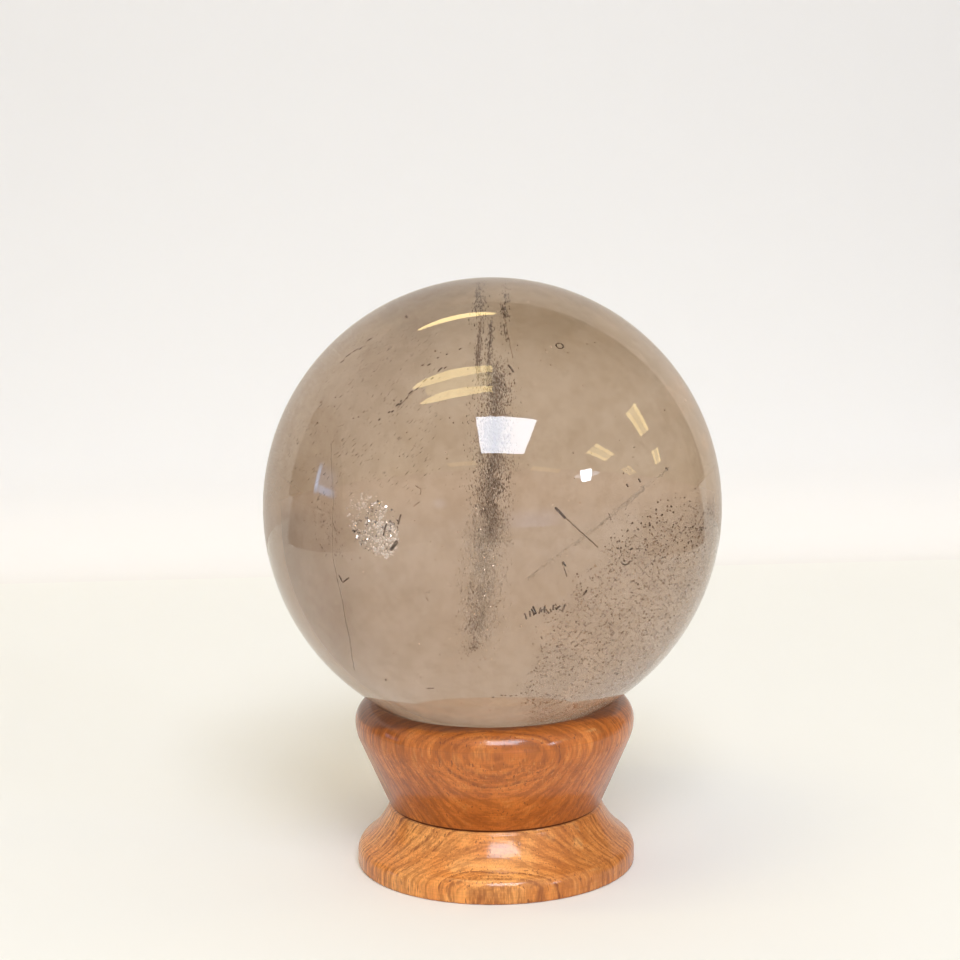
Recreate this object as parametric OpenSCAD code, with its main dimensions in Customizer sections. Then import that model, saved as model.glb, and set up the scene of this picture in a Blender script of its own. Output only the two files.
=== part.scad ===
// Polished quartz sphere resting in a small turned wooden stand.
// Units are millimetres, +Z is up, and the origin is the centre of the foot's underside.

/* [Sphere] */
// Diameter of the quartz sphere
sphere_d = 75; // [50:0.5:120]
// Clearance between the sphere and the dish that it rests in
dish_clearance = 0.2; // [0.1:0.05:0.5]

/* [Rim] */
// Diameter of the rim at its widest
rim_d = 46.4; // [44:0.2:60]
// Height of the rim's widest line above the table
rim_h = 24.3; // [20:0.1:40]
// Radius of the round over the top of the rim
rim_top_r = 3.8; // [3:0.1:5]
// Radius of the round under the rim's widest line
rim_side_r = 7; // [4:0.1:9]
// Diameter of the dish's mouth, where the rim turns down to the sphere
mouth_d = 40.4; // [36:0.2:41]

/* [Waist] */
// Diameter at the two lips of the waist groove
waist_d = 35.6; // [28:0.2:38]
// Height of the waist groove above the table
waist_h = 10.1; // [8.5:0.1:14]
// Width of the groove at its lips
groove_w = 0.7; // [0.3:0.1:1.2]
// Depth of the groove
groove_depth = 0.6; // [0.3:0.1:2]

/* [Foot] */
// Diameter of the foot at its widest
foot_d = 46.4; // [42:0.2:60]
// Height at which the foot's upright side starts to round over
foot_side_h = 2; // [1:0.1:3]
// Radius of the round over the foot's edge
foot_edge_r = 2.4; // [1:0.1:4]
// Radius of the hollow curve from the foot's edge up to the waist
cove_r = 14; // [10:0.5:40]
// Radius of the small round along the foot's underside
base_edge_r = 0.4; // [0.2:0.1:0.8]

/* [Hidden] */
$fn = 180;
arc_step = 5;

sphere_r = sphere_d / 2;
dish_r = sphere_r + dish_clearance;

// Both rim rounds are tangent to the vertical at the widest line.
rim_top_centre = [rim_d / 2 - rim_top_r, rim_h];
rim_side_centre = [rim_d / 2 - rim_side_r, rim_h];

// The dish is concentric with the sphere and meets the rim's top round at the mouth.
mouth_r = mouth_d / 2;
mouth_h = rim_h + sqrt(pow(rim_top_r, 2) - pow(mouth_r - rim_top_centre[0], 2));
sphere_centre_h = mouth_h + sqrt(pow(dish_r, 2) - pow(mouth_r, 2));

lower_lip = [waist_d / 2, waist_h - groove_w / 2];
upper_lip = [waist_d / 2, waist_h + groove_w / 2];
groove_floor = [waist_d / 2 - groove_depth, waist_h];

// The upper body is a cone from the upper lip, tangent to the rim's side round.
to_side = rim_side_centre - upper_lip;
cone_angle = atan2(to_side[0], to_side[1]) + asin(rim_side_r / norm(to_side));

// The cove leaves the lower lip and is tangent to the foot's edge round.
foot_edge_centre = [foot_d / 2 - foot_edge_r, foot_side_h];
cove_centre = meeting(foot_edge_centre, foot_edge_r + cove_r, lower_lip, cove_r);
cove_start = direction(foot_edge_centre - cove_centre);
cove_end = direction(lower_lip - cove_centre);
foot_edge_end = direction(cove_centre - foot_edge_centre);

// Angle of a vector, from 0 to 360 degrees
function direction(v) = (atan2(v[1], v[0]) + 360) % 360;

// Point at distance ra from a and rb from b, on the right of the way from a to b
function meeting(a, ra, b, rb) =
    let (
        way = b - a,
        far = norm(way),
        along = (ra * ra - rb * rb + far * far) / (2 * far),
        aside = sqrt(ra * ra - along * along),
        u = way / far
    ) a + along * u + aside * [u[1], -u[0]];

// Points along an arc about c, from one angle to another
function arc(c, r, from, to) =
    let (steps = ceil(abs(to - from) / arc_step))
    [for (i = [0:steps]) let (t = from + (to - from) * i / steps) c + r * [cos(t), sin(t)]];

// Half of the stand's section, from the middle of its underside up to the axis over its dish
stand_outline = concat(
    [[0, 0]],
    arc([foot_d / 2 - base_edge_r, base_edge_r], base_edge_r, -90, 0),
    arc(foot_edge_centre, foot_edge_r, 0, foot_edge_end),
    arc(cove_centre, cove_r, cove_start, cove_end),
    [groove_floor, upper_lip],
    arc(rim_side_centre, rim_side_r, -cone_angle, 0),
    arc(rim_top_centre, rim_top_r, 0, 90),
    [[0, rim_h + rim_top_r]]
);

module sphere_place() {
    translate([0, 0, sphere_centre_h]) children();
}

module quartz_sphere() {
    color([0.73, 0.64, 0.55, 0.6]) sphere_place() sphere(d = sphere_d);
}

module stand() {
    color("sienna")
    difference() {
        rotate_extrude() polygon(stand_outline);
        sphere_place() sphere(r = dish_r);
    }
}

quartz_sphere();
stand();
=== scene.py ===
# %% [markdown]
# # A smoky quartz ball on a turned wooden stand
# The real object is two pieces: a ball of polished smoky quartz, 75 mm across, loose in the dish of a small
# turned stand. This lesson builds both over the measured frame of the part, so that they land where the
# construction drawing has them, and fills the stone with the flaws that make quartz look like quartz.

# %% Load the frame
import math
import random

import bpy
from mathutils import Euler, Matrix, Vector


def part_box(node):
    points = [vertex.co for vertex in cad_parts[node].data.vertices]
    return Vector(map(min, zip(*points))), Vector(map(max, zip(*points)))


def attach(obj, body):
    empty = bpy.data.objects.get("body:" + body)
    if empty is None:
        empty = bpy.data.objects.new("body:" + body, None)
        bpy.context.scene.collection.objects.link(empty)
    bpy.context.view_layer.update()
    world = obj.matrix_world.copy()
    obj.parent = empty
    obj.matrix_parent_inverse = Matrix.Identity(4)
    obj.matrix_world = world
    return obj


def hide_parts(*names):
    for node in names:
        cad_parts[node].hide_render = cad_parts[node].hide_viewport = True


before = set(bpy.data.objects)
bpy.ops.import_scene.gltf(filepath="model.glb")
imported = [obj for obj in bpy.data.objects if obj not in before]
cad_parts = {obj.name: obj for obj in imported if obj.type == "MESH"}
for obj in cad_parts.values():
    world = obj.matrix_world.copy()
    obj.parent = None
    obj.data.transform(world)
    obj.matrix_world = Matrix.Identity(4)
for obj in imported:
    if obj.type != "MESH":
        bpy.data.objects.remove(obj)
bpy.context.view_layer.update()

MM = 0.001
ball_low, ball_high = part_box("quartz_sphere")
_, stand_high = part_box("stand")
ball_centre = (ball_low + ball_high) / 2
ball_radius = (ball_high.z - ball_low.z) / 2
print("ball radius", round(ball_radius, 5), "centre height", round(ball_centre.z, 5))
print("stand height", round(stand_high.z, 5))


def add_object(name, data):
    """Makes an object and links it to the scene."""
    made = bpy.data.objects.new(name, data)
    bpy.context.scene.collection.objects.link(made)
    return made


# %% [markdown]
# ## The camera
# A small object on a table is usually seen from about an arm's length, a little from above. A wide lens
# close by would stretch the ball into an egg, and a long lens keeps it round. The camera stands 325 mm in
# front of the stand's axis and 53 mm above the middle of the ball.

# %% Set up the camera
CAMERA_RIGHT, CAMERA_BACK, CAMERA_UP = -1.95 * MM, -324.6 * MM, 52.7 * MM
TILT_DOWN, ROLL = 8.46, -0.7
camera_data = bpy.data.cameras.new("camera")
camera_data.lens = 75
camera_data.sensor_width = 36
camera_data.clip_start = 0.01
camera_data.clip_end = 20
camera = add_object("camera", camera_data)
bpy.context.scene.camera = camera
camera.location = (CAMERA_RIGHT, CAMERA_BACK, ball_centre.z + CAMERA_UP)
look_down = Euler((math.radians(90 - TILT_DOWN), 0, 0)).to_matrix()
roll = Matrix.Rotation(math.radians(ROLL), 3, "Z")
camera.rotation_euler = (look_down @ roll).to_euler()
print("camera", [round(c, 4) for c in camera.location])


# %% [markdown]
# ## Helpers for shader trees
# A shader is a graph of nodes. Written out one by one, they bury what the graph does. These helpers make
# nodes and materials, and stand for the nodes that come back again and again.

# %% Shader helpers
def fill(tree, socket, value):
    """Sets a socket's value, or links it to an output. A node stands for its first output."""
    if isinstance(value, bpy.types.Node):
        value = value.outputs[0]
    if isinstance(value, bpy.types.NodeSocket):
        tree.links.new(value, socket)
    else:
        socket.default_value = value


def node(tree, kind, _props=None, **sockets):
    """Makes a node. A socket goes by its name, or by i and its number where names repeat."""
    made = tree.nodes.new(kind)
    for key, value in (_props or {}).items():
        setattr(made, key, value)
    for key, value in sockets.items():
        numbered = key[0] == "i" and key[1:].isdigit()
        fill(tree, made.inputs[int(key[1:]) if numbered else key.replace("_", " ")], value)
    return made


def material(name):
    made = bpy.data.materials.new(name)
    made.use_nodes = True
    made.node_tree.nodes.clear()
    return made, made.node_tree


def ramp(tree, factor, *stops):
    made = node(tree, "ShaderNodeValToRGB", i0=factor)
    elements = made.color_ramp.elements
    while len(elements) < len(stops):
        elements.new(0.5)
    for element, (place, colour) in zip(elements, stops):
        element.position = place
        element.color = (*colour, 1)
    return made.outputs[0]


def maths(tree, operation, a, b=0.0, clamp=False):
    return node(tree, "ShaderNodeMath", {"operation": operation, "use_clamp": clamp}, i0=a, i1=b).outputs[0]


def times(tree, a, b):
    return maths(tree, "MULTIPLY", a, b)


def total(tree, first, *others):
    for other in others:
        first = maths(tree, "ADD", first, other)
    return first


def vector_maths(tree, operation, a, b=(0, 0, 0), output=0):
    """Works on two vectors. Output 0 is a vector, and output 1 is a number, such as a distance."""
    return node(tree, "ShaderNodeVectorMath", {"operation": operation}, i0=a, i1=b).outputs[output]


def scaled(tree, vector, factor):
    return node(tree, "ShaderNodeVectorMath", {"operation": "SCALE"}, i0=vector, Scale=factor).outputs[0]


def noise(tree, place, scale, detail=2.0, roughness=0.5):
    """Cloudy values round a half. A larger scale makes smaller clouds."""
    made = node(tree, "ShaderNodeTexNoise", Vector=place, Scale=scale, Detail=detail, Roughness=roughness)
    return made.outputs[0]


def noise_along(tree, value, scale, detail, roughness):
    """Noise that changes with one number only."""
    line = {"noise_dimensions": "1D"}
    made = node(tree, "ShaderNodeTexNoise", line, W=value, Scale=scale, Detail=detail, Roughness=roughness)
    return made.outputs[0]


def mixed(tree, factor, a, b, blend="MIX"):
    """Mixes two colours. Each is three numbers or another node's output."""
    made = node(tree, "ShaderNodeMix", {"data_type": "RGBA", "blend_type": blend}, i0=factor)
    for socket, value in ((made.inputs[6], a), (made.inputs[7], b)):
        fill(tree, socket, (*value, 1) if isinstance(value, tuple) else value)
    return made.outputs[2]


def fade(tree, value, low, high, to_low=0.0, to_high=1.0):
    """Goes smoothly from one number to another while the value goes from low to high."""
    made = node(tree, "ShaderNodeMapRange", {"interpolation_type": "SMOOTHSTEP"}, i0=value)
    for key, number in zip(("From Min", "From Max", "To Min", "To Max"), (low, high, to_low, to_high)):
        made.inputs[key].default_value = number
    return made.outputs[0]


def place_in_mm(tree, shift=(0, 0, 0)):
    """Where a point of the surface is, in millimetres, moved by the shift."""
    place = node(tree, "ShaderNodeTexCoord").outputs["Object"]
    return node(tree, "ShaderNodeMapping", Vector=place, Location=shift, Scale=[1 / MM] * 3).outputs[0]


print("shader helpers ready")

# %% [markdown]
# ## Helpers for Geometry Nodes
# A Geometry Nodes tree is a recipe for a mesh. Each tree here gets named inputs for its sizes, ends in
# Realize Instances and Set Material, and is turned into a plain mesh, so that every program reads the same
# shape.

# %% Geometry Nodes helpers
SOCKETS = {
    float: "NodeSocketFloat",
    int: "NodeSocketInt",
    Vector: "NodeSocketVector",
    bpy.types.Material: "NodeSocketMaterial",
}


def recipe(name, **inputs):
    tree = bpy.data.node_groups.new(name, "GeometryNodeTree")
    tree.interface.new_socket("Geometry", in_out="INPUT", socket_type="NodeSocketGeometry")
    tree.interface.new_socket("Geometry", in_out="OUTPUT", socket_type="NodeSocketGeometry")
    for key, value in inputs.items():
        kind = SOCKETS[type(value)]
        socket = tree.interface.new_socket(key.replace("_", " "), in_out="INPUT", socket_type=kind)
        socket.default_value = value
    return tree, tree.nodes.new("NodeGroupInput")


def serve(tree, geometry, finish):
    """Ends a recipe: what it made becomes one mesh with one finish."""
    real = node(tree, "GeometryNodeRealizeInstances", i0=geometry)
    painted = node(tree, "GeometryNodeSetMaterial", i0=real, Material=finish)
    out = tree.nodes.new("NodeGroupOutput")
    fill(tree, out.inputs[0], painted)


def bake(name, tree, start=None, **values):
    """Runs a recipe on a start mesh and returns a plain mesh object."""
    carrier = add_object(name + "_carrier", start or bpy.data.meshes.new(name + "_start"))
    modifier = carrier.modifiers.new("recipe", "NODES")
    modifier.node_group = tree
    items = [item for item in tree.interface.items_tree if item.in_out == "INPUT"]
    identifiers = {item.name: item.identifier for item in items}
    for key, value in values.items():
        modifier[identifiers[key.replace("_", " ")]] = value
    evaluated = carrier.evaluated_get(bpy.context.evaluated_depsgraph_get())
    mesh = bpy.data.meshes.new_from_object(evaluated)
    mesh.name = name
    bpy.data.objects.remove(carrier)
    print(name, "has", len(mesh.vertices), "points and", len(mesh.polygons), "faces")
    return add_object(name, mesh)


# %% [markdown]
# ## The finish of the stone
# Smoky quartz is clear glass with a brown cast that gets deeper with thickness: the rim of the ball looks
# paler than its middle. A colour on the surface can't do that. So the surface is polished glass, and a
# Volume Absorption node takes out some red, more green and most blue on the way through.

# %% Smoky quartz
QUARTZ_IOR = 1.544
SMOKE, SMOKE_DENSITY = (0.51, 0.30, 0.085), 18.0
quartz, tree = material("smoky_quartz")
glass = node(tree, "ShaderNodeBsdfPrincipled", Roughness=0.0, IOR=QUARTZ_IOR, Transmission_Weight=1.0)
smoke = node(tree, "ShaderNodeVolumeAbsorption", Color=(*SMOKE, 1), Density=SMOKE_DENSITY)
node(tree, "ShaderNodeOutputMaterial", Surface=glass, Volume=smoke)
print("smoky quartz takes out per metre", [round(SMOKE_DENSITY * (1 - c), 1) for c in SMOKE])

# %% [markdown]
# ## Painted shade in the stone
# The glass is tinted where light passes its surface, in soft steps with drifting edges. Most of the tint is
# painted shade and painted reflection: the darker left side, the grey patch low on the left, the browner
# lower part and the tinted limbs stand in for the darker room and the wood that the ball mirrors and bends
# there.
# Only the fine mottle is the stone's own cloudiness. A volume could change from place to place, but it
# renders slowly and simple viewers drop it.

# %% Painted shade and mottle in the stone
DRIFT = 5.0
LEAN_FROM, LEAN = 8.0, -0.6
PATCH = (-16, 0, -11)
from_middle = place_in_mm(tree, -ball_centre / MM)
east, _, up = node(tree, "ShaderNodeSeparateXYZ", i0=from_middle).outputs
cloud = maths(tree, "SUBTRACT", noise(tree, from_middle, 0.07), 0.5)
drift = times(tree, cloud, 2 * DRIFT)
lifted = maths(tree, "MAXIMUM", maths(tree, "SUBTRACT", up, LEAN_FROM), 0.0)
leaning = total(tree, times(tree, lifted, LEAN), total(tree, east, drift))
front_plane = node(tree, "ShaderNodeCombineXYZ", i0=east, i1=0.0, i2=up)
off_patch = vector_maths(tree, "DISTANCE", front_plane, PATCH, output=1)
mottle = noise(tree, from_middle, 0.40, 4.0, 0.6)
# Painted shade and reflection, in turn: the darker left side, the grey patch low on the left, the browner
# lower part, the darker left limb and the browner right limb. The last, a fine mottle, is the stone's own
# cloudiness.
shade_and_mottle_zones = (
    (fade(tree, leaning, -16.0, -26.0), (0.67, 0.62, 0.59)),
    (fade(tree, off_patch, 12.0, 5.0), (0.91, 0.91, 0.91)),
    (fade(tree, total(tree, up, drift), 4.0, -14.0), (0.98, 0.92, 0.85)),
    (fade(tree, east, -28.0, -36.0), (0.80, 0.78, 0.76)),
    (fade(tree, east, 24.0, 34.0), (1.0, 0.94, 0.85)),
    (fade(tree, mottle, 0.40, 0.64), (0.90, 0.87, 0.83)),
)
tint = (1.0, 1.0, 1.0)
for share, colour in shade_and_mottle_zones:
    tint = mixed(tree, share, tint, colour, blend="MULTIPLY")
tree.links.new(tint, glass.inputs["Base Color"])
print("zones of smoke", len(shade_and_mottle_zones), "with edges that drift up to", DRIFT, "mm")

# %% [markdown]
# ## The ball
# A ball could be a UV sphere, but that one pinches its faces together at two poles, and glass shows such a
# pinch as a knot. A cube whose points are all pushed out to the same distance from the middle has no poles.
# The tangent on each coordinate evens out the sizes of its faces.

# %% Recipe for the ball
tree, given = recipe("round_ball", Radius=0.0375, Cuts=97, Centre=Vector((0, 0, 0.06)))
g = given.outputs
cuts = g["Cuts"]
block = node(tree, "GeometryNodeMeshCube", Size=(2, 2, 2), Vertices_X=cuts, Vertices_Y=cuts, Vertices_Z=cuts)
place = node(tree, "GeometryNodeInputPosition")
even = vector_maths(tree, "TANGENT", scaled(tree, place, math.pi / 4))
outwards = scaled(tree, vector_maths(tree, "NORMALIZE", even), g["Radius"])
spot = vector_maths(tree, "ADD", outwards, g["Centre"])
rounded = node(tree, "GeometryNodeSetPosition", Geometry=block.outputs["Mesh"], Position=spot)
smooth = node(tree, "GeometryNodeSetShadeSmooth", i0=rounded)
serve(tree, smooth, quartz)
ball = bake("quartz_ball", tree, Radius=ball_radius, Centre=ball_centre)
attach(ball, "root")
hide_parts("quartz_sphere")

# %% [markdown]
# ## Flaws inside the stone
# No natural quartz is empty. This one has a veil of fine smoky flakes, a healed crack full of tiny bubbles,
# a feather of bright chips, long cracks, needles and scratches. Painted on, they would sit on the ball's
# skin. As real shapes in the glass, they slide behind each other as the ball is walked round. Each is solid
# and very small, because a see-through shape within glass is lost by simple viewers. Most finishes are matt
# and speckled, and sparkles are small mirrors. The bright chips have a faint painted glow, which stands in
# for the light they catch inside the stone.

# %% Finishes of the flaws
def flaw(name, dark, light, roughness=0.5, glow=0.0):
    """A matt finish, speckled from dark to light, with an optional painted glow in its light colour."""
    made, tree = material(name)
    inside = node(tree, "ShaderNodeTexCoord").outputs["Object"]
    tone = ramp(tree, noise(tree, inside, 2200.0, 1.0), (0.35, dark), (0.65, light))
    skin = node(tree, "ShaderNodeBsdfPrincipled", Base_Color=tone, Roughness=roughness,
                Emission_Color=(*light, 1), Emission_Strength=glow)
    node(tree, "ShaderNodeOutputMaterial", Surface=skin)
    return made


ink = flaw("dark_flaw", (0.06, 0.04, 0.03), (0.30, 0.22, 0.17))
smoke_grey = flaw("smoky_flaw", (0.16, 0.125, 0.11), (0.60, 0.53, 0.48))
mauve = flaw("mauve_flaw", (0.40, 0.34, 0.34), (0.82, 0.74, 0.73))
brown_haze = flaw("brown_flaw", (0.26, 0.195, 0.150), (0.60, 0.49, 0.41))
haze = flaw("haze_flaw", (0.50, 0.44, 0.38), (0.76, 0.70, 0.64))
# The bright chips have a faint painted glow, standing in for the light they catch inside the stone.
chip = flaw("bright_flaw", (0.92, 0.84, 0.80), (1.0, 0.94, 0.91), roughness=0.35, glow=0.14)
sparkle, tree = material("mirror_flaw")
skin = node(tree, "ShaderNodeBsdfPrincipled", Base_Color=(1.0, 0.95, 0.93, 1), Metallic=1.0, Roughness=0.18)
node(tree, "ShaderNodeOutputMaterial", Surface=skin)
print("flaw finishes ready")

# %% [markdown]
# ## A sheet of flakes
# The flaws of quartz lie along planes, where a crack ran or a layer of growth ended. A noise could cut such
# a plane out of the glass, but it would have no sparkle. This recipe scatters points over a flat sheet,
# keeps those that fall in a clump, inside the stone and near the sheet's heart, and puts a small stretched
# flake on each.

# %% Recipe for a sheet of flakes
tree, given = recipe(
    "flake_sheet", Width=0.02, Height=0.02, Thickness=0.001, Middle=Vector(), Turn=Vector(), Density=1e6,
    Gaps=0.5, Clump=200.0, Flake=0.0003, Long=1.0, Lean=Vector(), Loose=3.14, Heart=Vector(), Reach=0.04,
    Stone=Vector(), Stone_radius=0.036, Seed=1, Finish=ink,
)
g = given.outputs


def by_chance(low, high, shift):
    """A random number for each point, or three of them. The seed is the sheet's own plus a shift."""
    three = isinstance(low, tuple)
    made = node(tree, "FunctionNodeRandomValue", {"data_type": "FLOAT_VECTOR" if three else "FLOAT"})
    first = 0 if three else 2
    made.inputs[first].default_value = low
    made.inputs[first + 1].default_value = high
    tree.links.new(total(tree, g["Seed"], shift), made.inputs["Seed"])
    return made.outputs[0 if three else 1]


flat = node(tree, "GeometryNodeMeshGrid", Size_X=g["Width"], Size_Y=g["Height"], Vertices_X=2, Vertices_Y=2)
turn = node(tree, "FunctionNodeEulerToRotation", i0=g["Turn"])
set_up = node(tree, "GeometryNodeTransform", Geometry=flat, Translation=g["Middle"], Rotation=turn)
scatter = node(tree, "GeometryNodeDistributePointsOnFaces", Mesh=set_up,
               Density=g["Density"], Seed=g["Seed"])
spread = by_chance((-1, -1, -1), (1, 1, 1), 11)
puff = scaled(tree, spread, times(tree, g["Thickness"], by_chance(0.0, 1.4, 17)))
loose_points = node(tree, "GeometryNodeSetPosition", Geometry=scatter, Offset=puff)
print("flat sheet turned, set up and scattered with points")

# %% Which flakes are kept, and their size
here = node(tree, "GeometryNodeInputPosition")
clumps = total(tree, noise(tree, here, g["Clump"], 2.0, 0.6), by_chance(-0.07, 0.07, 23))
thin = maths(tree, "LESS_THAN", clumps, g["Gaps"])
off_middle = vector_maths(tree, "DISTANCE", here, g["Stone"], output=1)
outside = maths(tree, "GREATER_THAN", off_middle, g["Stone radius"])
off_heart = vector_maths(tree, "DISTANCE", here, g["Heart"], output=1)
frayed = times(tree, g["Reach"], by_chance(0.9, 1.0, 31))
far = maths(tree, "GREATER_THAN", off_heart, frayed)
drop = maths(tree, "MAXIMUM", maths(tree, "MAXIMUM", thin, outside), far)
kept = node(tree, "GeometryNodeDeleteGeometry", i0=loose_points, Selection=drop)
growth = by_chance(0.0, 1.0, 41)
big = total(tree, times(tree, times(tree, growth, growth), 0.7), 0.3)
size = times(tree, big, g["Flake"])
length = times(tree, size, g["Long"])
scale = node(tree, "ShaderNodeCombineXYZ", i0=size, i1=size, i2=length)
swing = scaled(tree, by_chance((-1, -1, -1), (1, 1, 1), 53), g["Loose"])
lean = vector_maths(tree, "ADD", swing, g["Lean"])
facing = node(tree, "FunctionNodeEulerToRotation", i0=lean)
flake = node(tree, "GeometryNodeMeshUVSphere", Segments=4, Rings=2, Radius=0.5)
planted = node(tree, "GeometryNodeInstanceOnPoints", Points=kept, Instance=flake,
               Rotation=facing, Scale=scale)
serve(tree, planted, g["Finish"])
flake_sheet = tree
print("flake sheet recipe has", len(tree.nodes), "nodes")

# %% [markdown]
# ## The veil
# The veil is a dozen upright sheets, seen nearly edge-on from the front. One tall sheet would be even all
# the way, and the real veil is not: it has thin strands at the crown, a dark core and a brown haze at the
# foot. Places in the stone are in millimetres from the ball's middle: to the right, to the back and up.

# %% Lay the veil
SKIN = 1.2
EDGE_ON = (93.5, 0, 90)


def in_stone(place):
    return ball_centre + Vector(place) * MM


def lay(name, finish, middle, width, height, turn, flakes, size, **more):
    """Bakes one sheet of flakes. Flakes are counted per square millimetre, and sizes are in millimetres."""
    values = {"Gaps": 0.5, "Clump": 0.2, "Long": 1.0, "Loose": 3.14, "Thickness": 0.3, "Seed": 1,
              "Reach": 60.0, "Heart": middle, "Lean": (0, 0, 0)}
    values.update(more)
    for key in ("Thickness", "Reach"):
        values[key] *= MM
    values["Clump"] /= MM
    values["Heart"] = in_stone(values["Heart"])
    values.update(Width=width * MM, Height=height * MM, Middle=in_stone(middle), Flake=size * MM)
    values.update(Turn=[math.radians(a) for a in turn], Density=flakes / MM ** 2, Finish=finish)
    piece = bake(name, flake_sheet, Stone=ball_centre, Stone_radius=ball_radius - SKIN * MM, **values)
    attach(piece, "root")


lay("veil_top_left", smoke_grey, (-1.2, 5.0, 21.5), 10, 6, EDGE_ON, 12.0, 0.16,
    Thickness=0.9, Clump=0.30, Long=4.0, Loose=0.2, Seed=5)
lay("veil_top_right", smoke_grey, (1.7, 5.0, 21.3), 10, 6, EDGE_ON, 9.0, 0.16,
    Thickness=0.5, Clump=0.30, Long=4.0, Loose=0.2, Seed=6)
lay("veil_left_streak", brown_haze, (-1.4, -6.0, 20.2), 8, 7, EDGE_ON, 16.0, 0.13,
    Thickness=0.35, Gaps=0.44, Clump=0.10, Long=4.0, Loose=0.12, Seed=7)
lay("veil_right_streak", smoke_grey, (-0.1, -6.0, 20.0), 8, 7.5, EDGE_ON, 20.0, 0.13,
    Thickness=0.42, Gaps=0.45, Clump=0.10, Long=4.0, Loose=0.12, Seed=8)
lay("veil_crown", brown_haze, (0.4, -10.5, 14.2), 9, 9, EDGE_ON, 46.0, 0.17,
    Thickness=1.8, Clump=0.40, Long=3.0, Loose=0.4, Seed=3)
lay("veil_crown_dark", ink, (0.3, -10.5, 14.2), 9, 8, EDGE_ON, 18.0, 0.19,
    Thickness=1.5, Gaps=0.56, Clump=0.55, Long=3.0, Loose=0.5, Seed=4)
lay("veil_core", brown_haze, (0.1, -14.0, 5.2), 8, 14, EDGE_ON, 50.0, 0.17,
    Thickness=1.9, Gaps=0.48, Clump=0.40, Long=3.0, Loose=0.4, Seed=14)
lay("veil_core_dark", ink, (0.0, -14.0, 6.2), 8, 11, EDGE_ON, 17.0, 0.17,
    Thickness=1.7, Gaps=0.55, Clump=0.65, Long=4.2, Loose=0.5, Seed=15)
lay("veil_middle", haze, (-1.5, -15.2, -4.6), 8, 9, EDGE_ON, 36.0, 0.17,
    Thickness=2.2, Clump=0.45, Long=3.0, Loose=0.6, Seed=16)
lay("veil_foot", brown_haze, (-2.3, -14.2, -11.8), 8, 9, EDGE_ON, 34.0, 0.17,
    Thickness=1.9, Gaps=0.53, Clump=0.45, Long=2.6, Loose=0.6, Seed=17)
lay("veil_haze", haze, (-0.5, -13, 3), 12, 34, EDGE_ON, 20.0, 0.17,
    Thickness=2.6, Gaps=0.48, Clump=0.25, Long=3.0, Loose=0.4, Seed=10)
lay("veil_glints", sparkle, (-1.0, -17, 0), 10, 30, EDGE_ON, 1.4, 0.30,
    Thickness=2.2, Gaps=0.48, Clump=0.3, Long=0.4, Lean=(1.0, 0, -0.3), Loose=0.6, Seed=9)

# %% [markdown]
# ## The cracks
# A crack that healed while the stone grew is left as a curtain of tiny bubbles. This one hangs low on the
# right and ends in a round front, so its sheets keep only the flakes near a heart. The long cracks never
# healed. A drawn line would look the same from every side, so each is a thin hazy sheet that runs straight
# back into the stone.

# %% The healed crack
CRACK = (13.5, -4.0, -12.0)
CRACK_TURN = (90, 0, 30)
CRACK_HEART = (24.0, 2.0, -24.0)
lay("crack_bubbles", brown_haze, CRACK, 40, 34, CRACK_TURN, 8.0, 0.34,
    Thickness=1.4, Gaps=0.42, Clump=0.5, Heart=CRACK_HEART, Reach=24.5, Seed=12)
lay("crack_haze", mauve, CRACK, 40, 34, CRACK_TURN, 15.0, 0.27,
    Thickness=1.8, Gaps=0.38, Clump=0.3, Heart=CRACK_HEART, Reach=24.0, Seed=13)
lay("crack_edge", ink, (19.5, -3.0, -2.5), 18, 6, (90, 0, 34), 6.0, 0.34,
    Thickness=1.8, Gaps=0.45, Clump=0.5, Heart=(20, -3, -2.5), Reach=8.5, Seed=14)

# %% Long cracks
def lay_crack(name, start, end, flakes, seed):
    """A thin hazy sheet that runs from start to end and straight back into the stone."""
    a, b = Vector(start), Vector(end)
    slope = math.degrees(math.atan2(b.z - a.z, b.x - a.x))
    lay(name, haze, tuple((a + b) / 2), math.hypot(b.x - a.x, b.z - a.z), 3, (0, -slope, 0), flakes, 0.15,
        Gaps=0.46, Clump=0.25, Long=2.0, Seed=seed)


lay_crack("crack_high", (10.0, -22, -2.5), (24.0, -6, 7.5), 17.0, 31)
lay_crack("crack_low", (4.0, -22, -6.5), (20.5, -12, 5.5), 17.0, 32)
lay_crack("crack_left", (-13.0, -20, -9.0), (-5.5, -21, -7.0), 7.0, 33)

# %% [markdown]
# ## The feather and the dust
# A feather is a fan of small chips where the stone once took a knock. Flakes that face every way would give
# an even grey, so these lean towards the light in front and flash as a group. Fine hatching and loose dust
# fill the rest of the stone.

# %% The feather and the dust
FEATHER_TURN = (90, 0, -28)
TO_LIGHT = (1.1, 0, -0.6)
lay("feather", chip, (-17.1, -21.4, 2.4), 9, 9, FEATHER_TURN, 17.0, 0.54,
    Thickness=1.1, Gaps=0.52, Clump=0.70, Long=0.35, Lean=TO_LIGHT, Loose=0.5, Reach=3.3, Seed=21)
lay("feather_tip", chip, (-15.0, -23.0, -0.6), 7, 7, FEATHER_TURN, 24.0, 0.56,
    Thickness=1.1, Gaps=0.49, Clump=0.70, Long=0.35, Lean=TO_LIGHT, Loose=0.5, Reach=2.7, Seed=22)
lay("feather_glints", sparkle, (-16.0, -22.3, 0.9), 9, 9, FEATHER_TURN, 12.0, 0.66,
    Thickness=0.9, Clump=0.55, Long=0.5, Lean=TO_LIGHT, Loose=0.6, Reach=3.8, Seed=26)
lay("side_veil", smoke_grey, (-22.9, -20.0, 1.0), 5, 9, (90, 0, -45), 7.0, 0.18,
    Thickness=0.9, Gaps=0.47, Clump=0.30, Long=3.0, Loose=0.3, Seed=28)
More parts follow.
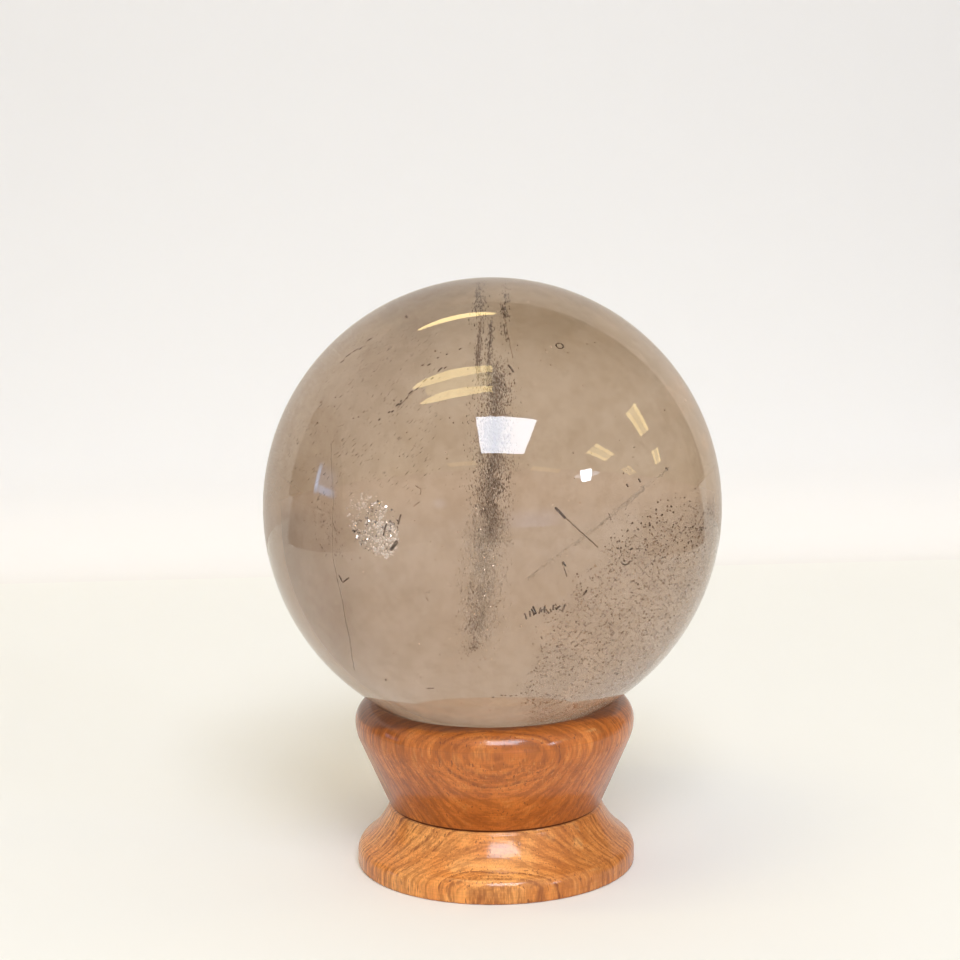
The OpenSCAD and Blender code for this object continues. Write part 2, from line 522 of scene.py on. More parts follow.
lay("left_hatch", haze, (-17, -6, 14), 24, 24, (90, 0, -35), 3.6, 0.13,
    Thickness=2.5, Gaps=0.52, Clump=0.30, Long=6.0, Lean=(0, 0.75, 0), Loose=0.2, Seed=23)
lay("scattered_dust", brown_haze, (0, -4, 0), 70, 70, (90, 0, 0), 0.14, 0.30,
    Thickness=22.0, Gaps=0.40, Clump=0.1, Seed=24)
lay("scattered_glints", chip, (0, -4, 0), 70, 70, (90, 0, 0), 0.02, 0.30,
    Thickness=22.0, Gaps=0.40, Clump=0.1, Seed=25)

# %% [markdown]
# ## Needles, scratches and small marks
# A long thin flaw is a line with a little thickness. A cylinder would be as straight and even as a wire.
# This recipe turns a drawn line into a curve, lets it wander, thins it towards its ends and sweeps a small
# ring along it.

# %% Recipe for a thread
tree, given = recipe("thread", Radius=0.0001, Wander=0.0001, Step=0.0004, Finish=ink)
g = given.outputs
line = node(tree, "GeometryNodeMeshToCurve", i0=g["Geometry"])
fine = node(tree, "GeometryNodeResampleCurve", {"mode": "LENGTH"}, Curve=line, Length=g["Step"])
here = node(tree, "GeometryNodeInputPosition")
shake = node(tree, "ShaderNodeTexNoise", Vector=here, Scale=900.0, Detail=1.0).outputs["Color"]
centred = vector_maths(tree, "SUBTRACT", shake, (0.5, 0.5, 0.5))
offset = scaled(tree, centred, g["Wander"])
wavy = node(tree, "GeometryNodeSetPosition", Geometry=fine, Offset=offset)
along = node(tree, "GeometryNodeSplineParameter").outputs["Factor"]
hump = maths(tree, "SINE", times(tree, along, math.pi))
taper = total(tree, hump, 0.25)
tapered = node(tree, "GeometryNodeSetCurveRadius", Curve=wavy, Radius=taper)
ring = node(tree, "GeometryNodeCurvePrimitiveCircle", Resolution=5, Radius=g["Radius"])
swept = node(tree, "GeometryNodeCurveToMesh", Curve=tapered, Profile_Curve=ring, Fill_Caps=True)
serve(tree, swept, g["Finish"])
thread = tree
print("thread recipe has", len(tree.nodes), "nodes")


# %% Draw threads in the stone
def draw(name, finish, lines, radius, wander=0.2):
    """Sweeps drawn lines, in millimetres from the middle of the ball."""
    points, edges = [], []
    for line in lines:
        edges += [(len(points) + i, len(points) + i + 1) for i in range(len(line) - 1)]
        points += [in_stone(p) for p in line]
    start = bpy.data.meshes.new(name + "_lines")
    start.from_pydata(points, edges, [])
    piece = bake(name, thread, start, Radius=radius * MM, Wander=wander * MM, Finish=finish)
    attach(piece, "root")


draw("needle", brown_haze, [[(8.6, -25.1, 3.4), (10.6, -17.5, -0.1), (12.3, -9.7, -3.4)]], 0.09)
draw("needle_head", ink, [[(8.4, -25.6, 3.8), (9.4, -22.2, 2.0)]], 0.19)
draw("feather_bits", ink,
     [[(-12.7, -26.1, 3.3), (-13.1, -26.1, 1.9)], [(-14.7, -25.4, 1.9), (-15.2, -25.4, 0.2)]], 0.13)
draw("feather_chip", ink, [[(-13.2, -26.0, -0.4), (-14.2, -26.0, -1.7)]], 0.26)
draw("veil_line", brown_haze, [[(1.2, 5.7, 21.6), (1.9, 2.0, 20.0), (2.5, -0.7, 17.1)]], 0.045, 0.3)
draw("hatch_line", brown_haze,
     [[(-12.4, -15.5, 15.7), (-11.0, -15.2, 17.2), (-9.1, -14.7, 18.7)]], 0.045, 0.3)
print("needles drawn")

# %% [markdown]
# ## Marks that come in rows
# Healed cracks also leave rows of dashes and scribbles. Each stroke could be placed by hand, but a row with
# a little seeded chance in it is shorter, and stays the same each time.

# %% Rows of dashes and scribbles
def dashes(start, end, number, share, seed):
    """Short strokes in a row from start to end. Share is how much of the row they fill."""
    draws = random.Random(seed)
    a, b = Vector(start), Vector(end)
    strokes = []
    for i in range(number):
        begin = (i + draws.uniform(0.0, 1.0 - share)) / number
        stop = begin + share * draws.uniform(0.5, 1.2) / number
        aside = Vector([draws.uniform(-0.25, 0.25) for _ in range(3)])
        strokes.append([tuple(a.lerp(b, begin) + aside), tuple(a.lerp(b, stop) + aside)])
    return strokes


def scribble(start, end, number, height, seed):
    """Upright strokes of mixed length and slant, in a row from start to end."""
    draws = random.Random(seed)
    strokes = []
    for i in range(number):
        foot = Vector(start).lerp(Vector(end), (i + draws.uniform(0, 1)) / number)
        foot.z += draws.uniform(-0.5, 0.5) * height
        rise = Vector((draws.uniform(-0.7, 0.7), draws.uniform(-0.3, 0.3), draws.uniform(0.4, 1.6))) * height
        strokes.append([tuple(foot), tuple(foot + rise)])
    return strokes


draw("scratches", ink, scribble((4.0, -17.6, -11.4), (8.4, -14.3, -10.6), 14, 0.7, 41), 0.12, 0.5)
draw("dash_rows", ink,
     dashes((-12.2, -8.8, 13.4), (-5.3, -7.2, 19.0), 9, 0.6, 31)
     + dashes((-13.8, -8.8, 12.2), (-9.6, -8.5, 15.6), 5, 0.45, 32)
     + dashes((-18.4, 0.9, 17.4), (-14.2, 0.5, 20.5), 5, 0.6, 33)
     + dashes((-9.7, -12.6, 20.4), (-4.0, -12.4, 23.2), 5, 0.3, 34), 0.09)
draw("bottom_row", ink,
     dashes((-1.0, -21.9, -23.8), (4.0, -21.8, -23.6), 5, 0.35, 35)
     + dashes((-10.0, -21.1, -22.8), (-9.0, -21.1, -22.6), 1, 0.9, 36), 0.12)
print("rows drawn")


# %% Cracks seen edge-on, ticks, hooks and bubbles
def turns(start, end, steps):
    return [math.radians(start + (end - start) * i / steps) for i in range(steps + 1)]


def arc(centre, radius, start, end, steps):
    way = turns(start, end, steps)
    return [(centre[0] + radius * math.cos(t), centre[1] + radius * math.sin(t)) for t in way]


def curl(middle, radius, start, end):
    """Part of a ring that faces the front."""
    return [(x, middle[1], z) for x, z in arc((middle[0], middle[2]), radius, start, end, 10)]


draw("side_crack_high", haze, [[(-22.8, -18.7, 12.3), (-22.3, -21.1, 4.8), (-22.3, -20.8, -3.7)]], 0.05, 0.3)
draw("side_crack_low", haze,
     [[(-22.3, -20.8, -3.7), (-21.0, -19.9, -9.5), (-20.0, -17.1, -15.5), (-19.2, -12.5, -20.6)]], 0.09, 0.3)
draw("ticks", ink, [
    [(-22.1, -23.7, -5.9), (-21.5, -23.2, -6.9), (-20.4, -23.5, -6.1)],
    [(2.2, -14.4, 21.2), (2.9, -14.8, 20.2)],
    [(19.1, -16.2, 6.1), (19.4, -16.2, 5.6)], [(17.5, -17.4, 5.6), (17.8, -17.4, 5.2)],
    [(22.8, -12.8, 7.0), (23.1, -12.8, 6.6)], [(11.7, -20.3, -8.6), (12.1, -20.3, -7.9)],
    [(9.0, -21.6, -3.9), (9.4, -21.6, -4.5)],
], 0.13, 0.1)
draw("hooks", brown_haze, [
    [(-10.1, -20.3, 6.2), (-9.3, -20.6, 5.7), (-9.5, -20.7, 5.0)], [(-9.6, -20.9, 4.1), (-10.4, -20.8, 3.5)],
    [(8.6, -18.1, -4.2), (8.9, -18.0, -5.2), (9.2, -17.8, -6.2)], [(-8.9, -21.2, -8.4), (-8.6, -21.2, -9.0)],
], 0.09)
draw("bubbles", ink, [curl((9.7, -16.6, 25.6), 0.55, 0, 350), curl((18.2, -23.8, -3.8), 0.75, 200, 340)],
     0.11, 0.0)
print("marks drawn")

# %% [markdown]
# ## The outline of the stand
# A turned piece is one outline spun round an axis, so the outline is all that has to be right. It is built
# from the sizes a turner would set on the callipers: a foot with a rounded edge, a cove up to a cut line at
# the waist, a straight flare to the rim, a round over the rim, and a dish for the ball.

# %% Sizes of the stand
RIM_R, RIM_H, RIM_TOP, RIM_SIDE = 23.2, 24.3, 3.8, 7.0
WAIST_R, WAIST_H, GROOVE_W, GROOVE_D = 17.8, 10.1, 0.7, 0.6
FOOT_R, FOOT_H, FOOT_EDGE, COVE_R, BASE_EDGE = 23.2, 2.0, 2.4, 14.0, 0.4
DISH_R = ball_radius / MM + 0.2
DISH_Z = ball_centre.z / MM


def heading(a, b):
    return math.degrees(math.atan2(b[1] - a[1], b[0] - a[0])) % 360


def touching(a, ra, b, rb):
    """Centre of the circle that lies ra from a and rb from b, to the right of the way from a to b."""
    gap = math.dist(a, b)
    along = (gap ** 2 + ra ** 2 - rb ** 2) / (2 * gap)
    aside = math.sqrt(ra ** 2 - along ** 2)
    ux, uy = (b[0] - a[0]) / gap, (b[1] - a[1]) / gap
    return (a[0] + along * ux + aside * uy, a[1] + along * uy - aside * ux)


# %% [markdown]
# ## Drawing the outline
# Each arc has to run smoothly into the next, as a gouge leaves it. Their ends could be typed in, but a
# changed size would then break the outline, so the tangent points are worked out here. A few dozen guesses
# close in on the mouth of the dish, where the round of the rim meets the hollow.

# %% Draw the outline
foot_c = (FOOT_R - FOOT_EDGE, FOOT_H)
lower_lip, upper_lip = (WAIST_R, WAIST_H - GROOVE_W / 2), (WAIST_R, WAIST_H + GROOVE_W / 2)
cove_c = touching(foot_c, FOOT_EDGE + COVE_R, lower_lip, COVE_R)
side_c, top_c = (RIM_R - RIM_SIDE, RIM_H), (RIM_R - RIM_TOP, RIM_H)
reach_x, reach_z = side_c[0] - upper_lip[0], side_c[1] - upper_lip[1]
flare = math.degrees(math.atan2(reach_x, reach_z) + math.asin(RIM_SIDE / math.hypot(reach_x, reach_z)))
mouth_z = RIM_H + RIM_TOP
for _ in range(40):
    mouth_r = math.sqrt(DISH_R ** 2 - (DISH_Z - mouth_z) ** 2)
    mouth_z = RIM_H + math.sqrt(RIM_TOP ** 2 - (mouth_r - top_c[0]) ** 2)
mouth = (mouth_r, mouth_z)
cove_start, cove_end = heading(cove_c, foot_c), heading(cove_c, lower_lip)
foot_end = heading(foot_c, cove_c)
dish_start = heading((0, DISH_Z), mouth)
outline = (
    [(0.0, 0.0)]
    + arc((FOOT_R - BASE_EDGE, BASE_EDGE), BASE_EDGE, -90, 0, 6)
    + arc(foot_c, FOOT_EDGE, 0, foot_end, 24)
    + arc(cove_c, COVE_R, cove_start, cove_end, 24)
    + [(WAIST_R - GROOVE_D, WAIST_H)]
    + [upper_lip]
    + arc(side_c, RIM_SIDE, -flare, 0, 24)
    + arc(top_c, RIM_TOP, 0, heading(top_c, mouth), 28)
    + arc((0, DISH_Z), DISH_R, dish_start, 270, 40)[1:]
)
print("mouth of the dish", [round(v, 3) for v in mouth], "outline points", len(outline))

# %% [markdown]
# ## The finish of the wood
# A tree grows in layers, and a lathe cuts through them: flat layers make nested U shapes on the flare and
# hoops on the foot. A picture wrapped round the stand couldn't show that, so the pattern is made in space.
# A layer number rises from front to back, a little wavy, and every layer ends in a thin dark line.

# %% Layers of the wood
LAYER = 1.15
wood, tree = material("varnished_wood")
in_mm = place_in_mm(tree)
east, north, up = node(tree, "ShaderNodeSeparateXYZ", i0=in_mm).outputs


def grain(scale, detail=2.0, stretch=(1, 1, 1), roughness=0.55, turn=0.0):
    """Noise in the wood, per millimetre. Stretch shortens an axis, so a small number makes long marks."""
    fitted = node(tree, "ShaderNodeMapping", Vector=in_mm, Scale=stretch, Rotation=(0, 0, turn))
    return noise(tree, fitted, scale, detail, roughness)


wander = grain(0.11, 1.0, (1, 1, 0.6))
ripple = grain(0.55, 2.0, (1, 1, 0.5))
depth = total(tree, north, times(tree, wander, 2.4), times(tree, ripple, 0.3), times(tree, east, -0.03))
count = times(tree, depth, 1 / LAYER)
bands = noise_along(tree, count, 0.55, 2.0, 0.6)
phase = maths(tree, "FRACT", total(tree, count, times(tree, bands, 1.6)))
late = times(tree, fade(tree, phase, 0.30, 0.85), fade(tree, phase, 0.88, 1.0, 1.0, 0.0))
brushed = fade(tree, grain(2.2, 2.0, (1, 1, 0.22)), 0.38, 0.60, 0.25, 1.0)
strong = times(tree, fade(tree, bands, 0.40, 0.58, 0.35, 1.0), brushed)
streaks = grain(0.75, 3.0, (0.33, 2.4, 0.33), 0.6)
print("wood layers every", LAYER, "mm")

# %% [markdown]
# ## Pores and marks of the lathe
# Pores are fine tubes that run upright through the layers. They are too thin to cut into the mesh, so a
# noise stretched upright draws them. The lathe left faint level rings and a cut at the waist. The cut is
# darkened with painted shade, and the ball's shadow and reflection are painted on the rim top as a darker
# band.

# %% Pores, fibres and turning marks
fibre = grain(5.0, 3.0, (1, 1, 0.06))
pore_noise = grain(3.2, 1.0, (1, 1, 0.16))
early = fade(tree, phase, 0.5, 0.1)
pores = times(tree, fade(tree, pore_noise, 0.61, 0.68), total(tree, times(tree, early, 0.8), 0.2))
light_noise = grain(2.7, 1.0, (1, 1, 0.15), turn=0.7)
under_rim = fade(tree, up, RIM_H - 1.0, RIM_H, 1.0, 0.0)
upper_zone = times(tree, fade(tree, up, RIM_H - 7.0, RIM_H - 4.5), under_rim)
light_share = total(tree, times(tree, upper_zone, 0.8), 0.15)
light_pores = times(tree, fade(tree, light_noise, 0.62, 0.70), light_share)
turned = noise_along(tree, up, 4.0, 3.0, 0.7)
patches = fade(tree, grain(0.16, 2.0), 0.35, 0.65)
below_waist = fade(tree, up, WAIST_H - 0.2, WAIST_H, 1.0, 0.0)
# The waist groove is darkened with painted shade; the same mask also roughens it and takes its coat off.
cut_low = fade(tree, up, WAIST_H - 0.16, WAIST_H - 0.04)
cut_high = fade(tree, up, WAIST_H + 0.28, WAIST_H + 0.36, 1.0, 0.0)
out_from_axis = maths(tree, "SQRT", total(tree, times(tree, east, east), times(tree, north, north)))
cut_deep = fade(tree, out_from_axis, WAIST_R - 0.02, WAIST_R + 0.1, 1.0, 0.0)
groove_shade = times(tree, times(tree, cut_low, cut_high), cut_deep)
# Painted shadow and reflection of the ball on the rim top: darker above an edge that sits higher at the
# front.
to_front = fade(tree, north, -10.0, -19.0, 0.0, 1.2)
ball_shadow_edge = total(tree, times(tree, east, 0.035), to_front, times(tree, ripple, 0.8), RIM_H + 1.7)
painted_ball_shadow = fade(tree, maths(tree, "SUBTRACT", up, ball_shadow_edge), -0.15, 0.35)
print("waist groove at", WAIST_H, "mm")

# %% [markdown]
# ## Colours of the wood
# Wood is not one brown: the flare is reddish, and the foot is paler with a darker heart. The foot's paleness
# is partly the wood's own tone and partly painted sheen of its upward slope. One picture could hold all
# that, but it would stretch round the curves. Here each colour goes over the one before, as glazes do, and
# the coat on the shader is the turner's varnish.

# %% Colours of the wood
flare_wood = mixed(tree, patches, (0.52, 0.138, 0.018), (0.66, 0.190, 0.030))
# The foot's paler colour is partly the wood's own tone and partly painted sheen of its upward slope.
foot_wood = mixed(tree, patches, (0.84, 0.300, 0.058), (0.93, 0.400, 0.100))
heart = fade(tree, total(tree, east, times(tree, wander, 8.0)), 9.0, 16.0)
foot_wood = mixed(tree, times(tree, heart, 0.6), foot_wood, (0.46, 0.130, 0.018))
body = mixed(tree, below_waist, flare_wood, foot_wood)
calm_foot = fade(tree, below_waist, 0.0, 1.0, 1.0, 0.75)
streak_share = times(tree, fade(tree, streaks, 0.46, 0.60, 0.0, 0.62), calm_foot)
late_share = times(tree, times(tree, late, strong), fade(tree, below_waist, 0.0, 1.0, 0.84, 0.88))
glazes = (
    (streak_share, (0.30, 0.078, 0.009)),
    (fade(tree, streaks, 0.46, 0.30, 0.0, 0.18), (1.0, 0.50, 0.14)),
    (late_share, (0.19, 0.046, 0.008)),
    (fade(tree, fibre, 0.35, 0.7, 0.0, 0.30), (0.30, 0.082, 0.012)),
    (times(tree, light_pores, 0.28), (0.80, 0.36, 0.10)),
    (times(tree, pores, 0.72), (0.13, 0.034, 0.008)),
    (fade(tree, turned, 0.40, 0.66, 0.0, 0.18), (0.24, 0.064, 0.010)),
    # painted shadow and reflection of the ball on the rim top
    (times(tree, painted_ball_shadow, 0.50), (0.095, 0.048, 0.040)),
    # painted shade in the waist groove
    (times(tree, groove_shade, 0.85), (0.07, 0.018, 0.006)),
)
for share, colour in glazes:
    body = mixed(tree, share, body, colour)
print("glazes over the wood", len(glazes))

# %% Varnish
RELIEF_DEPTH = 0.12 * MM
heights = ((pores, -0.5), (turned, 0.5), (fibre, 0.12), (late, -0.15))
relief = total(tree, *[times(tree, mark, height) for mark, height in heights])
bump = node(tree, "ShaderNodeBump", Height=relief, Strength=0.35, Distance=RELIEF_DEPTH)
coat_bump = node(tree, "ShaderNodeBump", Height=relief, Strength=0.12, Distance=RELIEF_DEPTH)
gloss = total(tree, times(tree, fibre, 0.14), times(tree, groove_shade, 0.5), 0.40)
varnished = node(tree, "ShaderNodeBsdfPrincipled", Base_Color=body, Roughness=gloss, IOR=1.5, Normal=bump,
                 Specular_IOR_Level=0.25, Coat_Weight=fade(tree, groove_shade, 0.0, 1.0, 0.6, 0.0),
                 Coat_Roughness=0.10, Coat_IOR=1.5, Coat_Normal=coat_bump)
node(tree, "ShaderNodeOutputMaterial", Surface=varnished)
print("varnished wood has", len(tree.nodes), "nodes")

# %% [markdown]
# ## Spinning the outline
# A Screw modifier could spin the outline. Geometry Nodes do it in the same kind of recipe as the rest:
# Curve to Mesh sweeps a profile along a path, and a circle for a path makes a turned piece. The circle's
# radius comes off the profile's width first.

# %% Spin the outline
PATH_R = 20 * MM
profile = bpy.data.meshes.new("stand_outline")
profile_points = [(r * MM - PATH_R, -z * MM, 0) for r, z in outline]
profile.from_pydata(profile_points, [(i, i + 1) for i in range(len(outline) - 1)], [])

tree, given = recipe("lathe", Path_radius=PATH_R, Turns=256)
g = given.outputs
path = node(tree, "GeometryNodeCurvePrimitiveCircle", Resolution=g["Turns"], Radius=g["Path radius"])
drawn = node(tree, "GeometryNodeMeshToCurve", i0=g["Geometry"])
spun = node(tree, "GeometryNodeCurveToMesh", Curve=path, Profile_Curve=drawn)
closed = node(tree, "GeometryNodeMergeByDistance", Geometry=spun, Distance=1e-6)
outward = node(tree, "GeometryNodeFlipFaces", i0=closed)
smooth = node(tree, "GeometryNodeSetShadeSmooth", i0=outward)
serve(tree, smooth, wood)
stand = bake("turned_stand", tree, profile, Path_radius=PATH_R)
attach(stand, "root")
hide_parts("stand")
spots = [v.co for v in stand.data.vertices]
for name, pick in (("from", min), ("to", max)):
    print("stand", name, [round(pick(spot[i] for spot in spots), 5) for i in range(3)])

# %% [markdown]
# ## Matt surfaces of the stage
# The stand is on a cream sheet over a table, with a pale wall behind it. A plain matt material would be
# right from the front, but a glass ball mirrors and bends the whole room. So this helper can also pass into
# an even background far off, and show another tone where polished stone mirrors it.

# %% Matt surfaces
PALE, SHEET_TONE = (0.86, 0.845, 0.81), (0.92, 0.885, 0.80)
LOW_FROM, LOW_TO = 8 * MM, 34 * MM
SEAM = 10 * MM


def pale_look(tree):
    """Two switches. Pale is 1 for any look at the background and 0 for light that falls on matt things.
    Mirrored is 1 only where a polished surface mirrors the room."""
    look = node(tree, "ShaderNodeLightPath").outputs
    through = look["Is Transmission Ray"]
    polished = maths(tree, "MAXIMUM", look["Is Glossy Ray"], through)
    pale = maths(tree, "MAXIMUM", look["Is Camera Ray"], polished)
    mirrored = times(tree, look["Is Glossy Ray"], maths(tree, "SUBTRACT", 1.0, through))
    return pale, mirrored


def glow(tree, colour):
    return node(tree, "ShaderNodeEmission", Color=colour, Strength=1.0)


def plain(name, colour, one_sided=False, evens_out=None, dark_sides=0.0, in_gloss=None, low_shade=None):
    """A matt surface. Between the two distances in evens_out it passes into the even tone of the background.
    With dark_sides, polished things go on mirroring its own colour beside the sheet, left and right.
    With in_gloss, polished things mirror it as that tone. With low_shade, its lowest part is painted darker
    in that colour, as painted shade."""
    made, tree = material(name)
    inside = node(tree, "ShaderNodeTexCoord").outputs["Object"]
    right, back, up = node(tree, "ShaderNodeSeparateXYZ", i0=inside).outputs
    tone = mixed(tree, fade(tree, up, LOW_FROM, LOW_TO), low_shade or colour, colour)
    skin = node(tree, "ShaderNodeBsdfDiffuse", Color=tone)
    pale, mirrored = pale_look(tree)
    if evens_out:
        away = vector_maths(tree, "LENGTH", inside, output=1)
        even = glow(tree, mixed(tree, fade(tree, away, 0.5, 1.6), SHEET_TONE, PALE))
        share = times(tree, pale, fade(tree, away, *evens_out))
        aside = maths(tree, "MAXIMUM", maths(tree, "ABSOLUTE", right), SEAM)
        slope = maths(tree, "DIVIDE", back, aside)
        slope = maths(tree, "SUBTRACT", slope, fade(tree, right, -SEAM, SEAM, 0.0, 0.18))
        beside = fade(tree, maths(tree, "ABSOLUTE", slope), 0.50, 0.44, 0.0, dark_sides)
        share = maths(tree, "SUBTRACT", share, times(tree, mirrored, beside), clamp=True)
        skin = node(tree, "ShaderNodeMixShader", i0=share, i1=skin, i2=even)
    if in_gloss:
        flat = glow(tree, (*in_gloss, 1))
        skin = node(tree, "ShaderNodeMixShader", i0=mirrored, i1=skin, i2=flat)
    if one_sided:
        behind = node(tree, "ShaderNodeNewGeometry").outputs["Backfacing"]
        clear = node(tree, "ShaderNodeBsdfTransparent")
        skin = node(tree, "ShaderNodeMixShader", i0=behind, i1=skin, i2=clear)
    node(tree, "ShaderNodeOutputMaterial", Surface=skin)
    return made


print("matt surfaces ready")

# %% [markdown]
# ## The table and the wall behind
# The edges of the sheet and of the wall draw the soft lines near the limb of the ball, and one big plane
# would have no such edges. The sheet is a plane over a darker table, and the wall is a strip that curves up
# behind it and ends in an arch. It is only seen from its front, so that it never hides the object.

# %% Stage
SHEET_LEFT, SHEET_RIGHT, SHEET_FRONT, SHEET_BACK = -240 * MM, 205 * MM, -600 * MM, 300 * MM
WALL_Y, WALL_LEFT, SWEEP_R = 274 * MM, -475 * MM, 24 * MM
ARCH_X, ARCH_Z, ARCH_WIDTH, ARCH_HEIGHT = 31 * MM, 100 * MM, 345 * MM, 340 * MM
WALL_SLANT, TABLE_HALF, OVER_SHEET = 0.07, 3, 0.02 * MM


def sheet_of(name, points, faces, finish):
    mesh = bpy.data.meshes.new(name)
    mesh.from_pydata(points, [], faces)
    mesh.materials.append(finish)
    for face in mesh.polygons:
        face.use_smooth = True
    made = add_object(name, mesh)
    return made


def level(name, left, right, front, back, height, finish):
    corners = [(left, front, height), (right, front, height), (right, back, height), (left, back, height)]
    return sheet_of(name, corners, [(0, 1, 2, 3)], finish)


cream = plain("cream_sheet", (0.845, 0.835, 0.795), evens_out=(0.33, 0.60))
level("floor", SHEET_LEFT, SHEET_RIGHT, SHEET_FRONT, SHEET_BACK, 0, cream)
table_top = plain("table_top", (0.10, 0.078, 0.060), evens_out=(-1.0, 0.0), dark_sides=0.80)
level("table", -TABLE_HALF, TABLE_HALF, -TABLE_HALF, TABLE_HALF, -MM, table_top)
print("table and sheet laid")

# %% The wall
# The wall's lowest part, its upward sweep, is painted darker: painted shade that holds back the extra
# ceiling light it catches.
pale_wall = plain("pale_wall", (0.855, 0.842, 0.835), one_sided=True, in_gloss=(0.76, 0.69, 0.61),
                  low_shade=(0.825, 0.80, 0.775))
section, reaches = [], []
for t in turns(0, 90, 12):
    section.append((WALL_Y - SWEEP_R * (1 - math.sin(t)), SWEEP_R * (1 - math.cos(t)) + OVER_SHEET))
    reaches.append(ARCH_WIDTH)
for t in turns(0, 90, 16):
    section.append((WALL_Y, ARCH_Z + ARCH_HEIGHT * math.sin(t)))
    reaches.append(ARCH_WIDTH * math.cos(t))
points = []
for (y, z), reach in zip(section, reaches):
    share = reach / ARCH_WIDTH
    for x in (ARCH_X + (WALL_LEFT - ARCH_X) * share, ARCH_X + reach):
        points.append((x, y + WALL_SLANT * x, z))
faces = [(2 * i, 2 * i + 1, 2 * i + 3, 2 * i + 2) for i in range(len(section) - 1)]
wall = sheet_of("backdrop", points, faces, pale_wall)
print("wall faces", [round(c, 2) for c in wall.data.polygons[-1].normal])

# %% [markdown]
# ## The room
# The room gives an even, slightly warm light. A plain colour would do for the wood, but the ball would have
# nothing to mirror. So polished surfaces see far walls, a dim corner on the right, a dim doorway on the left
# and blue windows, and all else sees an even tone.

# %% Walls and doorway
ROOM, FAR_WALLS, DIM = (0.58, 0.56, 0.535), (0.76, 0.69, 0.62), (0.07, 0.065, 0.06)
scene = bpy.context.scene
scene.view_settings.view_transform = "Standard"
world = bpy.data.worlds.new("room")
scene.world = world
world.use_nodes = True
tree = world.node_tree
view = node(tree, "ShaderNodeTexCoord").outputs["Generated"]
right, back, high = node(tree, "ShaderNodeSeparateXYZ", i0=view).outputs
aside = maths(tree, "ABSOLUTE", right)
dim_right = times(tree, fade(tree, back, -0.25, 0.25), fade(tree, right, -0.1, 0.1))
rise = maths(tree, "DIVIDE", high, maths(tree, "MAXIMUM", aside, 0.01))
arched = times(tree, times(tree, rise, rise), 1.15)
door_edge = maths(tree, "SUBTRACT", arched, 0.21)
door_near = maths(tree, "GREATER_THAN", back, times(tree, aside, door_edge))
door_low = fade(tree, rise, 0.62, 0.45)
on_left = maths(tree, "LESS_THAN", right, 0.0)
door = times(tree, times(tree, door_near, door_low), on_left)
around = mixed(tree, fade(tree, high, 0.25, 0.7), FAR_WALLS, ROOM)
around = mixed(tree, maths(tree, "MAXIMUM", dim_right, door), around, DIM)
print("far walls laid")


# %% Windows
def towards(way):
    """How far a look goes along a way."""
    return vector_maths(tree, "DOT_PRODUCT", view, way, output=1)


def window(under, turn, lift, half_width, half_height, softness, colour):
    """Adds a soft-edged bright patch. Turn and lift are degrees from the front and from level."""
    turned, lifted = math.radians(turn), math.radians(lift)
    level_way = Vector((math.sin(turned), -math.cos(turned), 0))
    ahead = level_way * math.cos(lifted) + Vector((0, 0, math.sin(lifted)))
    top = Vector((0, 0, math.cos(lifted))) - level_way * math.sin(lifted)
    distance = maths(tree, "MAXIMUM", towards(ahead), 0.1)
    mask = maths(tree, "GREATER_THAN", towards(ahead), 0.5)
    for way, half in ((top.cross(ahead), half_width), (top, half_height)):
        off = maths(tree, "ABSOLUTE", maths(tree, "DIVIDE", towards(way), distance))
        reach = math.tan(math.radians(half))
        edge = fade(tree, off, reach * (1 + softness), reach * (1 - softness))
        mask = times(tree, mask, edge)
    return mixed(tree, mask, under, colour, blend="ADD")


around = window(around, -98, 8.6, 1.1, 4.2, 0.5, (1.3, 2.5, 4.2))
around = window(around, -91, 5.8, 6.0, 1.3, 0.6, (0.8, 1.7, 3.0))
around = window(around, -92, 9.5, 7.0, 4.0, 0.6, (0.25, 0.5, 1.0))
around = window(around, -26, 10, 2.6, 1.8, 0.8, (1.2, 1.4, 1.8))
around = window(around, 20, 1.5, 11.0, 4.5, 0.7, (0.8, 1.0, 1.5))
pale, mirrored = pale_look(tree)
shown = mixed(tree, mirrored, mixed(tree, pale, ROOM, PALE), around)
tree.links.new(shown, tree.nodes["Background"].inputs[0])
print("room has", len(tree.nodes), "nodes")

# %% [markdown]
# ## The lamps
# Most of the light comes from a ceiling with bright panels and pairs of warm tubes. One large lamp would
# light the object as well, but polished stone mirrors each fitting. So they are laid out as on a ceiling
# plan, in units of the ceiling's height over the ball. A few are only seen in mirrors.

# %% Light fittings
CEILING = 1.2
DAYLIGHT, TUBE = (0.90, 0.98, 1.12), (1.0, 0.79, 0.34)
TUBE_OFF = 0.11


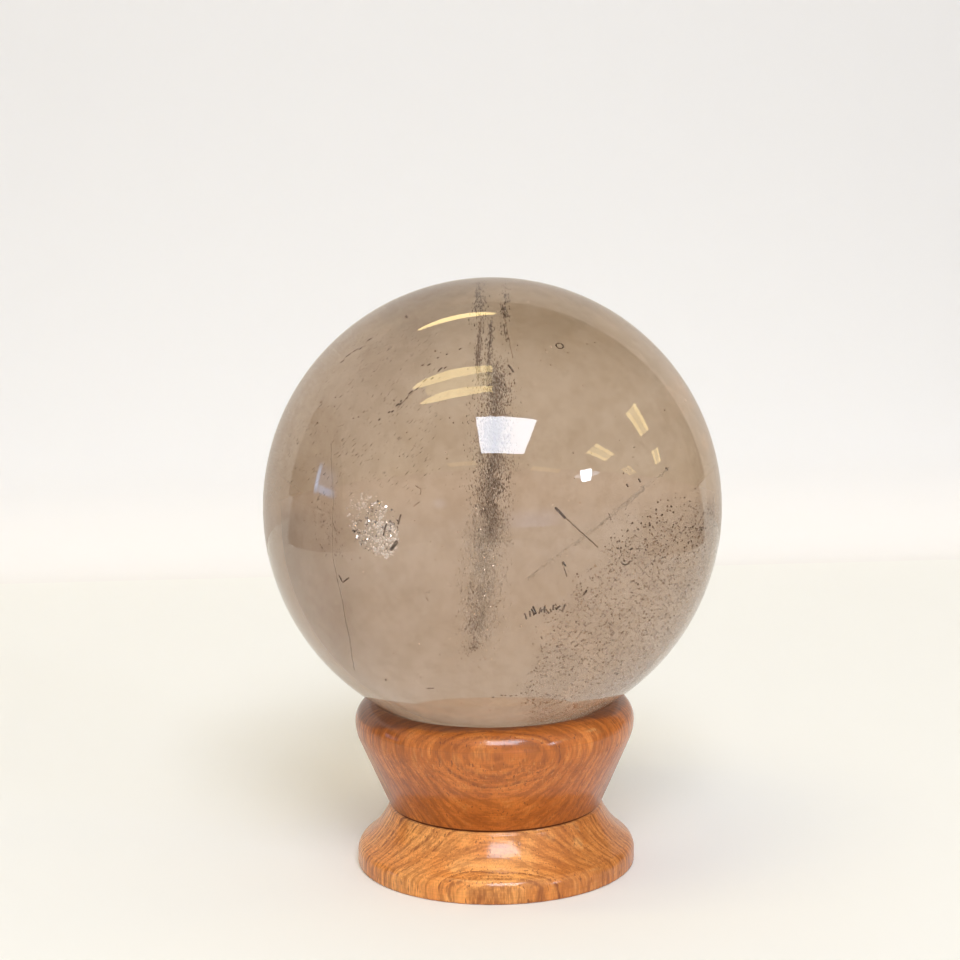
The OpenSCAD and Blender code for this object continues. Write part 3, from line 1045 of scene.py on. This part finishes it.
def fitting(name, left, right, front, back, radiance, colour, shape="RECTANGLE", turn=0,
            only_mirrored=False):
    """A flat light on the ceiling, with its sides in ceiling heights and its turn in degrees."""
    data = bpy.data.lights.new(name, "AREA")
    data.shape = shape
    data.size, data.size_y = (right - left) * CEILING, (back - front) * CEILING
    area = data.size * data.size_y * (math.pi / 4 if shape == "ELLIPSE" else 1.0)
    data.energy = radiance * math.pi * area
    data.color = colour
    made = add_object(name, data)
    made.location = ball_centre + Vector(((left + right) / 2, (front + back) / 2, 1)) * CEILING
    made.rotation_euler = (0, 0, math.radians(turn))
    made.visible_transmission = not only_mirrored
    made.visible_diffuse = not only_mirrored


def tubes(name, left, right, middle, radiance):
    """A fitting with two tubes, and the pale tray between them."""
    for side, place in (("_front", middle - TUBE_OFF), ("_back", middle + TUBE_OFF)):
        fitting(name + side, left, right, place - 0.045, place + 0.045, radiance, TUBE)
    fitting(name + "_tray", left, right, middle - 0.06, middle + 0.06, radiance * 0.6, TUBE)


def soft_tubes(name, left, right, middle, radiance):
    """The same fitting close by, where each tube is seen to fade towards its far end."""
    for side, place in (("_front", middle - TUBE_OFF), ("_back", middle + TUBE_OFF)):
        fitting(name + side, left, right, place - 0.05, place + 0.05, radiance * 0.5, TUBE, "ELLIPSE")
        fitting(name + side + "_bright", left * 0.72, right, place - 0.03, place + 0.04, radiance * 0.5,
                TUBE, only_mirrored=True)
    fitting(name + "_tray", left * 0.85, right, middle - 0.13, middle + 0.13, radiance * 0.16, TUBE,
            "ELLIPSE", only_mirrored=True)


fitting("panel", -0.155, 0.455, -1.46, -0.765, 14.0, DAYLIGHT)
fitting("far_panel", 1.77, 2.59, -2.08, -1.78, 24.0, DAYLIGHT, turn=-47)
fitting("far_panel_glow", 1.80, 2.50, -2.03, -1.67, 4.0, DAYLIGHT, "ELLIPSE", turn=43, only_mirrored=True)
soft_tubes("near_tubes", -0.63, 0.01, -0.32, 14.0)
tubes("right_tubes", 1.46, 2.17, 0.15, 6.0)
tubes("front_right_tubes", 1.45, 2.07, -0.97, 6.0)
tubes("far_right_tubes", 3.05, 4.15, 0.27, 6.0)
tubes("far_front_tubes", 2.95, 3.78, -0.98, 3.0)
fitting("back_tube", -0.44, 0.035, 0.475, 0.56, 9.0, TUBE, "ELLIPSE", only_mirrored=True)
fitting("left_glow", -0.75, -0.26, -1.8, -1.66, 1.6, TUBE)
fitting("right_glow", 0.7, 1.33, -2.0, -1.82, 1.6, TUBE)
print("lamps", len(bpy.data.lights))
